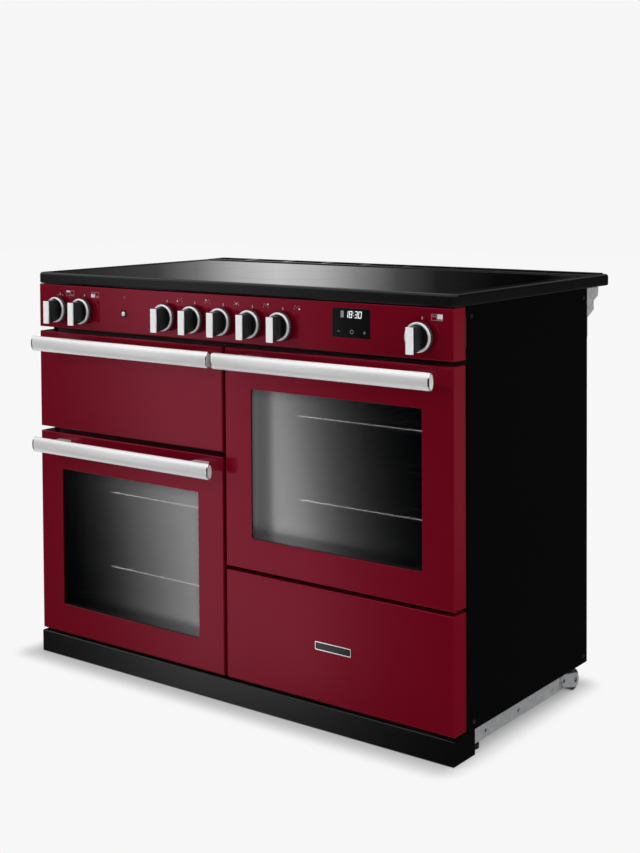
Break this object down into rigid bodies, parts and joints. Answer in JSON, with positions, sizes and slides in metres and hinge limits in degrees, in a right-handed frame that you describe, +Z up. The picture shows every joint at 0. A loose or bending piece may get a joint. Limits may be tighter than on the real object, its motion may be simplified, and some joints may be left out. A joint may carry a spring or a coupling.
{
  "type": "range cooker",
  "caption": "Free-standing induction range cooker with glazed drop-down oven doors, a pull-out grill, a storage drawer, bar handles and a slim control panel.",
  "frame": {"origin": "on the floor, under the middle of the cooker's box", "axes": "+X to the right seen from the front, +Y to the rear, +Z up"},
  "size_m": [1.1, 0.67, 0.862],
  "materials": {
    "red_enamel": "satin cherry red",
    "black_enamel": "satin black",
    "black_panel": "matt black",
    "hob_glass": "gloss black ceramic glass",
    "door_glass": "tinted",
    "clock_glass": "gloss black",
    "satin_steel": "satin",
    "chrome": "polished",
    "galvanised": "galvanised",
    "dark_enamel": "vitreous enamel",
    "wire_chrome": "chromed wire",
    "element": "heat-dulled",
    "copper_coil": "lacquered winding",
    "seal": "woven seal",
    "lamp_glass": "clear",
    "black_plastic": "moulded",
    "cast": "dull",
    "roller": "nylon"
  },
  "bodies": {
    "cabinet": {"hob_frame": "black_enamel", "hob_glass": "hob_glass", "hob_vent": "black_enamel", "induction_coils": "copper_coil", "hob_tray": "galvanised", "control_panel": "red_enamel", "control_units": "black_plastic", "clock_glass": "clock_glass", "front_frame": "dark_enamel", "side_panels": "black_panel", "back_panel": "galvanised", "rear_duct": "galvanised", "terminal_box": "black_plastic", "base_tray": "black_panel", "base_rails": "galvanised", "plinth": "black_panel", "oven_liner_left": "dark_enamel", "oven_liner_right": "dark_enamel", "grill_liner": "dark_enamel", "oven_shelves": "wire_chrome", "fan_covers": "dark_enamel", "fan_motors": "cast", "heating_elements": "element", "oven_lamps": "lamp_glass", "door_seals": "seal", "slide_rails": "galvanised"},
    "door_left": {"door_left_panel": "red_enamel", "door_left_glass": "door_glass", "door_left_inner": "black_enamel", "door_left_hinges": "galvanised", "door_left_handle": "satin_steel"},
    "door_right": {"door_right_panel": "red_enamel", "door_right_glass": "door_glass", "door_right_inner": "black_enamel", "door_right_hinges": "galvanised", "door_right_handle": "satin_steel"},
    "grill": {"grill_front": "red_enamel", "grill_handle": "satin_steel", "grill_carriage": "galvanised", "grill_pan": "dark_enamel", "grill_rack": "wire_chrome"},
    "drawer": {"drawer_front": "red_enamel", "drawer_box": "galvanised"},
    "knob_grill": {"knob_grill": "chrome"},
    "knob_oven_left": {"knob_oven_left": "chrome"},
    "knob_zone_1": {"knob_zone_1": "chrome"},
    "knob_zone_2": {"knob_zone_2": "chrome"},
    "knob_zone_3": {"knob_zone_3": "chrome"},
    "knob_zone_4": {"knob_zone_4": "chrome"},
    "knob_zone_5": {"knob_zone_5": "chrome"},
    "knob_oven_right": {"knob_oven_right": "chrome"},
    "light_button": {"light_button": "chrome"},
    "fan_left": {"fan_left": "galvanised"},
    "fan_right": {"fan_right": "galvanised"},
    "foot_left": {"foot_left": "black_plastic"},
    "foot_right": {"foot_right": "black_plastic"},
    "roller_arm_left": {"roller_arm_left": "galvanised"},
    "roller_arm_right": {"roller_arm_right": "galvanised"},
    "roller_left": {"roller_left": "roller"},
    "roller_right": {"roller_right": "roller"}
  },
  "joints": [
    {"name": "door_left_swing", "type": "hinge", "parent": "cabinet", "child": "door_left", "pos_m": [-0.27425, -0.274, 0.078], "axis": [1, 0, 0], "range_deg": [0, 90], "stiffness_Nm_per_rad": 9, "springref_deg": -14.32},
    {"name": "door_right_swing", "type": "hinge", "parent": "cabinet", "child": "door_right", "pos_m": [0.27425, -0.274, 0.3075], "axis": [1, 0, 0], "range_deg": [0, 90], "stiffness_Nm_per_rad": 9, "springref_deg": -14.32},
    {"name": "drawer_slide", "type": "slide", "parent": "cabinet", "child": "drawer", "axis": [0, -1, 0], "range_m": [0, 0.33]},
    {"name": "grill_slide", "type": "slide", "parent": "cabinet", "child": "grill", "axis": [0, -1, 0], "range_m": [0, 0.3]},
    {"name": "knob_grill_turn", "type": "hinge", "parent": "cabinet", "child": "knob_grill", "pos_m": [-0.478, -0.288, 0.7798], "axis": [0, 1, 0], "range_deg": [-150, 150]},
    {"name": "knob_oven_left_turn", "type": "hinge", "parent": "cabinet", "child": "knob_oven_left", "pos_m": [-0.401, -0.288, 0.7798], "axis": [0, 1, 0], "range_deg": [0, 300]},
    {"name": "knob_zone_1_turn", "type": "hinge", "parent": "cabinet", "child": "knob_zone_1", "pos_m": [-0.154, -0.288, 0.7798], "axis": [0, 1, 0], "range_deg": [0, 280]},
    {"name": "knob_zone_2_turn", "type": "hinge", "parent": "cabinet", "child": "knob_zone_2", "pos_m": [-0.077, -0.288, 0.7798], "axis": [0, 1, 0], "range_deg": [0, 280]},
    {"name": "knob_zone_3_turn", "type": "hinge", "parent": "cabinet", "child": "knob_zone_3", "pos_m": [0, -0.288, 0.7798], "axis": [0, 1, 0], "range_deg": [0, 280]},
    {"name": "knob_zone_4_turn", "type": "hinge", "parent": "cabinet", "child": "knob_zone_4", "pos_m": [0.077, -0.288, 0.7798], "axis": [0, 1, 0], "range_deg": [0, 280]},
    {"name": "knob_zone_5_turn", "type": "hinge", "parent": "cabinet", "child": "knob_zone_5", "pos_m": [0.154, -0.288, 0.7798], "axis": [0, 1, 0], "range_deg": [0, 280]},
    {"name": "knob_oven_right_turn", "type": "hinge", "parent": "cabinet", "child": "knob_oven_right", "pos_m": [0.478, -0.288, 0.7798], "axis": [0, 1, 0], "range_deg": [0, 300]},
    {"name": "light_button_press", "type": "slide", "parent": "cabinet", "child": "light_button", "axis": [0, 1, 0], "range_m": [0, 0.003], "stiffness_N_per_m": 400, "springref_m": -0.002},
    {"name": "fan_left_spin", "type": "hinge", "parent": "cabinet", "child": "fan_left", "pos_m": [-0.274, 0.167, 0.2935], "axis": [0, 1, 0], "continuous": true},
    {"name": "fan_right_spin", "type": "hinge", "parent": "cabinet", "child": "fan_right", "pos_m": [0.274, 0.167, 0.521], "axis": [0, 1, 0], "continuous": true},
    {"name": "foot_left_adjust", "type": "slide", "parent": "cabinet", "child": "foot_left", "axis": [0, 0, -1], "range_m": [0, 0.018]},
    {"name": "roller_arm_left_adjust", "type": "hinge", "parent": "cabinet", "child": "roller_arm_left", "pos_m": [-0.5403, 0.142, 0.034], "axis": [-1, 0, 0], "range_deg": [0, 18]},
    {"name": "foot_right_adjust", "type": "slide", "parent": "cabinet", "child": "foot_right", "axis": [0, 0, -1], "range_m": [0, 0.018]},
    {"name": "roller_arm_right_adjust", "type": "hinge", "parent": "cabinet", "child": "roller_arm_right", "pos_m": [0.5403, 0.142, 0.034], "axis": [-1, 0, 0], "range_deg": [0, 18]},
    {"name": "roller_left_spin", "type": "hinge", "parent": "roller_arm_left", "child": "roller_left", "pos_m": [-0.5293, 0.194, 0.022], "axis": [1, 0, 0], "continuous": true},
    {"name": "roller_right_spin", "type": "hinge", "parent": "roller_arm_right", "child": "roller_right", "pos_m": [0.5293, 0.194, 0.022], "axis": [1, 0, 0], "continuous": true}
  ]
}
